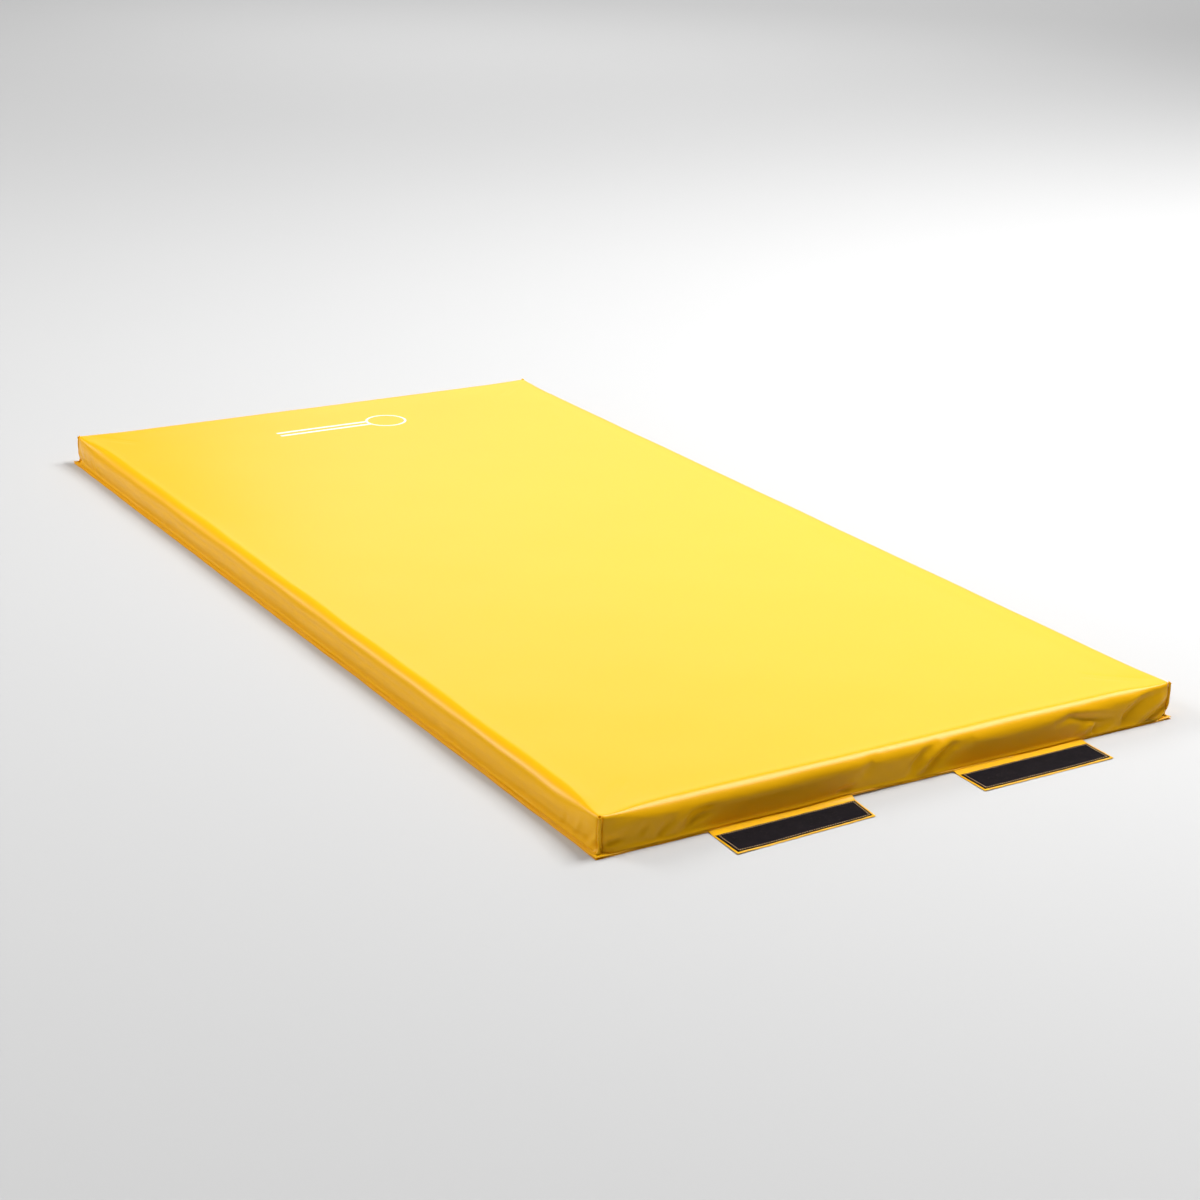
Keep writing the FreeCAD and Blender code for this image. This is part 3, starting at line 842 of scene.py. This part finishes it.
def make_loop_tape(side, material):
    """The loop tape under the rear end, set into the base sheet with its loops downwards."""
    low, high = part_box(f"loop_tape_{side}")
    rng = np.random.default_rng(SEED + 80 + (side == "right"))
    back = high.z - BACKING
    gx, gy, full = strip_grid(low, high, rng)
    strip = closed_sheet(gx, gy, high.z - BACKING * full, np.full_like(gx, high.z - 0.05 * MM))
    x, y, _ = pile_places(low, high, 2.3 * MM, 2.1 * MM, rng)
    places = np.column_stack([x, y, np.full(x.size, back)])
    loops = strewn(loop_shape(back - 0.12 * MM), places, rng.uniform(0, math.pi, x.size), up=-1)
    points, faces = joined([strip, loops])
    return new_object(f"loop_strip_{side}", points, faces, material)


def make_loop_stitches(side, material):
    """The stitching round a loop tape, seen from below."""
    low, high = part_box(f"loop_tape_thread_{side}")
    rng = np.random.default_rng(SEED + 90 + (side == "right"))
    half_x, half_y = (high.x - low.x) / 2 - 0.3 * MM, (high.y - low.y) / 2 - 0.3 * MM
    ring = rectangle((low + high) / 2, half_x, half_y)
    path = np.column_stack([ring, np.full(len(ring), 0.45 * MM)])
    shape = stitch_shape(3.3 * MM, 0.34 * MM)
    points, faces = stitches_along(path, STITCH_PITCH, shape, rng, up=-1, closed=True)
    return new_object(f"loop_stitching_{side}", points, faces, material)


# -------------------- the print

def make_print(cover, material):
    """The plain printed sign, a ring and two stripes that run into it, as a film on the cover."""
    low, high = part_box("printed_emblem")
    radius = (high.y - low.y) / 2
    centre = Vector((high.x - radius, (low.y + high.y) / 2, 0))
    stroke, stripe, pitch = 5 * MM, 8 * MM, 20 * MM
    round_steps, rows, columns = 120, 4, 61
    points = []
    for r in (radius, radius - stroke / 2, radius - stroke):
        for k in range(round_steps):
            turn = 2 * math.pi * k / round_steps
            points.append((centre.x + r * math.cos(turn), centre.y + r * math.sin(turn)))
    faces = loop_faces(3, round_steps)
    for sign in (-1, 1):
        faces += grid_faces(rows, columns, len(points))
        for dy in np.linspace(-stripe / 2, stripe / 2, rows) + sign * pitch / 2:
            end = centre.x - math.sqrt(radius ** 2 - dy ** 2) - 0.05 * MM
            points += [(x, centre.y + dy) for x in np.linspace(low.x, end, columns)]
    mesh = cover.data
    tree = BVHTree.FromPolygons([v.co for v in mesh.vertices], [p.vertices for p in mesh.polygons])
    film = []
    for x, y in points:
        hit = tree.ray_cast(Vector((x, y, 0.2)), Vector((0, 0, -1)))[0]
        film.append((x, y, hit.z + 0.08 * MM))
    obj = new_object("printed_sign", film, faces, material)
    thick = obj.modifiers.new("film", "SOLIDIFY")
    thick.thickness = 0.12 * MM
    thick.offset = 1
    return obj


# -------------------- materials

def node(tree, kind, inputs=None, **settings):
    """A new shader node. inputs holds values or sockets of other nodes, by the socket's name or number."""
    made = tree.nodes.new(kind)
    for key, value in settings.items():
        setattr(made, key, value)
    for key, value in (inputs or {}).items():
        if isinstance(value, bpy.types.NodeSocket):
            tree.links.new(value, made.inputs[key])
        else:
            made.inputs[key].default_value = value
    return made


def noise(tree, place, scale, detail=2.0):
    """The value of a noise texture."""
    return node(tree, "ShaderNodeTexNoise", {"Vector": place, "Scale": scale, "Detail": detail}).outputs[0]


def ranged(tree, value, low, high, to_low, to_high):
    """A value mapped from one range to another, and held within it."""
    inputs = {"Value": value, "From Min": low, "From Max": high, "To Min": to_low, "To Max": to_high}
    return node(tree, "ShaderNodeMapRange", inputs).outputs[0]


def mixed(tree, share, first, second):
    """A colour between two others."""
    return node(tree, "ShaderNodeMixRGB", {"Fac": share, "Color1": first, "Color2": second}).outputs[0]


def added(tree, first, second, weight):
    """first + second * weight, as numbers."""
    return node(tree, "ShaderNodeMath", {0: second, 1: weight, 2: first}, operation="MULTIPLY_ADD").outputs[0]


def ribs(tree, place, pitch):
    """Fine ribs across X, Y and Z, added up: a plain weave on every face of the mat."""
    total = None
    for axis in "XYZ":
        inputs = {"Vector": place, "Scale": math.pi / 10 / pitch, "Distortion": 0.6, "Detail": 1.0}
        wave = node(tree, "ShaderNodeTexWave", inputs, bands_direction=axis).outputs["Fac"]
        total = wave if total is None else added(tree, total, wave, 1.0)
    return total


def fabric(name, colour, roughness, specular, mottle, patch, pitch, depth, grain):
    """A woven or coated cloth: mottled colour in patches, uneven roughness, and a bump of ribs and grain.

    mottle is how much lighter and darker the patches are, patch their size, pitch the ribs' distance, depth
    the bump's height, and grain the noise's scale in the bump. A pitch of 0 leaves the ribs out.
    """
    material = bpy.data.materials.new(name)
    material.use_nodes = True
    tree = material.node_tree
    shader = tree.nodes["Principled BSDF"]
    shader.inputs["Specular IOR Level"].default_value = specular
    place = node(tree, "ShaderNodeTexCoord").outputs["Object"]
    dark = [c * (1 - mottle) for c in colour] + [1]
    light = [min(1, c * (1 + mottle)) for c in colour] + [1]
    share = ranged(tree, noise(tree, place, 1 / patch, 2.0), 0.2, 0.8, 0.0, 1.0)
    shade = mixed(tree, share, dark, light)
    uneven = ranged(tree, noise(tree, place, 2.6 / patch, 2.0), 0.2, 0.8,
                    roughness - 0.1 * mottle, roughness + 0.1 * mottle)
    height = noise(tree, place, grain, 3.0)
    if pitch:
        height = added(tree, height, ribs(tree, place, pitch), 0.22)
    bumps = node(tree, "ShaderNodeBump", {"Height": height, "Distance": depth, "Strength": 1.0})
    tree.links.new(shade, shader.inputs["Base Color"])
    tree.links.new(uneven, shader.inputs["Roughness"])
    tree.links.new(bumps.outputs[0], shader.inputs["Normal"])
    return material


def stained(material, share, colour):
    """Lays another colour over a material's own, as far as share says."""
    tree = material.node_tree
    base_colour = tree.nodes["Principled BSDF"].inputs["Base Color"]
    tree.links.new(mixed(tree, share, base_colour.links[0].from_socket, (*colour, 1)), base_colour)


def grime_and_shade_low(material, below, colour):
    """Adds painted shade and grime low on the mat, where it meets the floor, broken up by noise."""
    tree = material.node_tree
    place = node(tree, "ShaderNodeTexCoord").outputs["Object"]
    z = node(tree, "ShaderNodeSeparateXYZ", {0: place}).outputs["Z"]
    low = ranged(tree, z, 0.0, below, 1.0, 0.0)
    spots = ranged(tree, noise(tree, place, 90.0, 4.0), 0.35, 0.75, 0.0, 0.5)
    share = node(tree, "ShaderNodeMath", {0: low, 1: spots}, operation="MULTIPLY").outputs[0]
    stained(material, share, colour)


def specked(material, scale, start, colour):
    """Adds tiny light specks, such as lint in a hook tape."""
    tree = material.node_tree
    place = node(tree, "ShaderNodeTexCoord").outputs["Object"]
    stained(material, ranged(tree, noise(tree, place, scale, 1.0), start, start + 0.08, 0.0, 1.0), colour)


# Each cloth's colour, roughness, specular level, mottle, patch, pitch, depth and grain.
CLOTHS = {
    "cover_vinyl": ((0.88, 0.442, 0.0015), 0.31, 0.18, 0.012, 0.30, 0, 0.004 * MM, 420.0),
    "base_vinyl": ((0.86, 0.41, 0.003), 0.38, 0.25, 0.05, 0.16, 1.3 * MM, 0.03 * MM, 300.0),
    "hook_black": ((0.0075, 0.0055, 0.0075), 0.85, 0.08, 0.3, 0.02, 1.6 * MM, 0.05 * MM, 900.0),
    "loop_black": ((0.016, 0.014, 0.016), 0.9, 0.12, 0.3, 0.02, 1.2 * MM, 0.06 * MM, 1200.0),
    "thread_gold": ((0.72, 0.48, 0.22), 0.6, 0.3, 0.2, 0.012, 0.25 * MM, 0.05 * MM, 2500.0),
    "thread_yellow": ((0.82, 0.45, 0.02), 0.55, 0.3, 0.12, 0.012, 0.25 * MM, 0.05 * MM, 2500.0),
    "ink_white": ((0.93, 0.90, 0.80), 0.45, 0.3, 0.03, 0.03, 1.3 * MM, 0.012 * MM, 500.0),
    "foam_grey": ((0.22, 0.25, 0.30), 0.95, 0.1, 0.5, 0.015, 3.0 * MM, 0.6 * MM, 160.0),
    "floor_paint": ((0.51, 0.51, 0.51), 0.75, 0.2, 0.004, 1.0, 0.5, 0.01 * MM, 60.0),
}
WARM_SHINE = (1.0, 0.96, 0.8, 1.0)      # tint of the cover's reflections
cloths = {name: fabric(name, *look) for name, look in CLOTHS.items()}
cover_shader = cloths["cover_vinyl"].node_tree.nodes["Principled BSDF"]
cover_shader.inputs["Specular Tint"].default_value = WARM_SHINE
# Painted shade and grime: the cover's hem and the base sheet's lower edge are darkened near the floor.
grime_and_shade_low(cloths["cover_vinyl"], 3.2 * MM, (0.42, 0.26, 0.05))
grime_and_shade_low(cloths["base_vinyl"], 0.4 * MM, (0.38, 0.24, 0.06))
specked(cloths["hook_black"], 700.0, 0.70, (0.13, 0.11, 0.09))


# -------------------- putting the mat together


def stand_in(piece, slot, *nodes):
    """Hides the nodes that a piece replaces. slot is not used."""
    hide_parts(*nodes)
    return piece


fine = Round(400, 260)
foam = stand_in(make_foam(cloths["foam_grey"]), "foam", "foam_core")
cover = stand_in(make_cover(fine, cloths["cover_vinyl"]), "cover_cloth", "top_cover")
settle(cover, fine)
base = stand_in(make_base(fine, cloths["base_vinyl"]), "base_cloth", "base_sheet")
seam = stand_in(make_seam(fine, cloths["thread_yellow"]), "thread", "perimeter_seam_thread")
mat_pieces = [foam, cover, base, seam]
corner_rings = cover_rings(fine)
for k, name in enumerate(("front_left", "front_right", "rear_right", "rear_left")):
    corner = make_corner(fine, f"corner_roll_{name}", k, corner_rings, cloths["cover_vinyl"])
    mat_pieces.append(stand_in(corner, "cover_cloth", f"corner_seam_{name}"))
mat_pieces.append(stand_in(make_print(cover, cloths["ink_white"]), "print", "printed_emblem"))
for side in SIDES:
    loops = stand_in(make_loop_tape(side, cloths["loop_black"]), "loop_tape", f"loop_tape_{side}")
    loop_thread = make_loop_stitches(side, cloths["thread_gold"])
    mat_pieces += [loops, stand_in(loop_thread, "thread", f"loop_tape_thread_{side}")]
    flap = make_flap(side, cloths["cover_vinyl"])
    stand_in(flap, "cover_cloth", f"flap_root_{side}", f"flap_panel_{side}")
    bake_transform(flap)
    hooks = stand_in(make_hook_tape(side, cloths["hook_black"]), "hook_tape", f"hook_tape_{side}")
    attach(hooks, f"flap_{side}")
    thread = make_flap_stitches(side, cloths["thread_gold"])
    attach(stand_in(thread, "thread", f"hook_tape_thread_{side}"), f"flap_{side}")
for piece in mat_pieces:
    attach(piece, "mat")

# -------------------- floor, light and camera

FLOOR = 40.0                # half of its side
FLOOR_GAP = 0.1 * MM        # so that the base sheet and the floor don't coincide
floor_corners = [(-FLOOR, -FLOOR, 0), (FLOOR, -FLOOR, 0), (FLOOR, FLOOR, 0), (-FLOOR, FLOOR, 0)]
floor = new_object("floor", floor_corners, [(0, 1, 2, 3)], cloths["floor_paint"])
floor.location.z = -FLOOR_GAP


def area_light(name, at, aim, size, power):
    """A soft panel light at one place, turned towards another."""
    data = bpy.data.lights.new(name, "AREA")
    data.shape = "RECTANGLE"
    data.size, data.size_y = size
    data.energy = power
    light = bpy.data.objects.new(name, data)
    light.location = at
    light.rotation_euler = (Vector(aim) - Vector(at)).to_track_quat("-Z", "Y").to_euler()
    light.visible_camera = False
    bpy.context.scene.collection.objects.link(light)
    return light


area_light("key", (3.5, -0.3, 5.0), (3.5, -0.3, 0), (3.9, 2.4), 570)
area_light("overhead", (-0.3, 0.5, 4.9), (-0.3, 0.5, 0), (3.0, 3.4), 71)
area_light("far_panel", (4.8, 6.2, 3.6), (0, 0, 0.2), (5.5, 2.0), 64)
area_light("far_wash", (7.2, 9.2, 2.1), (7.2, 9.2, 0), (10.4, 7.4), 225)
area_light("left_fill", (-6.0, 0.0, 2.4), (0, 0, 0), (4.0, 3.0), 60)
area_light("back_wash", (-8.0, 9.5, 7.0), (-8.0, 9.5, 0), (5.0, 8.0), 1900)

world = bpy.data.worlds.new("studio")
bpy.context.scene.world = world
world.use_nodes = True
sky = world.node_tree.nodes["Background"]
sky.inputs["Color"].default_value = (1, 1, 1, 1)
sky.inputs["Strength"].default_value = 0.10

CAMERA_AT = Vector((-1.9873, -3.4131, 1.3882))
CAMERA_AIM = Vector((0.0103, -0.1561, 0.0))
CAMERA_LENS = 71.54
CAMERA_ROLL = math.radians(1.40)

camera_data = bpy.data.cameras.new("camera")
camera_data.lens = CAMERA_LENS
camera_data.sensor_width = 36.0
camera = bpy.data.objects.new("camera", camera_data)
bpy.context.scene.collection.objects.link(camera)
forward = (CAMERA_AIM - CAMERA_AT).normalized()
level_right = forward.cross(Vector((0, 0, 1))).normalized()
level_up = level_right.cross(forward)
right = level_right * math.cos(CAMERA_ROLL) + level_up * math.sin(CAMERA_ROLL)
up = level_up * math.cos(CAMERA_ROLL) - level_right * math.sin(CAMERA_ROLL)
camera.matrix_world = Matrix.Translation(CAMERA_AT) @ Matrix((right, up, -forward)).transposed().to_4x4()
bpy.context.scene.camera = camera
bpy.context.scene.view_settings.view_transform = "Standard"
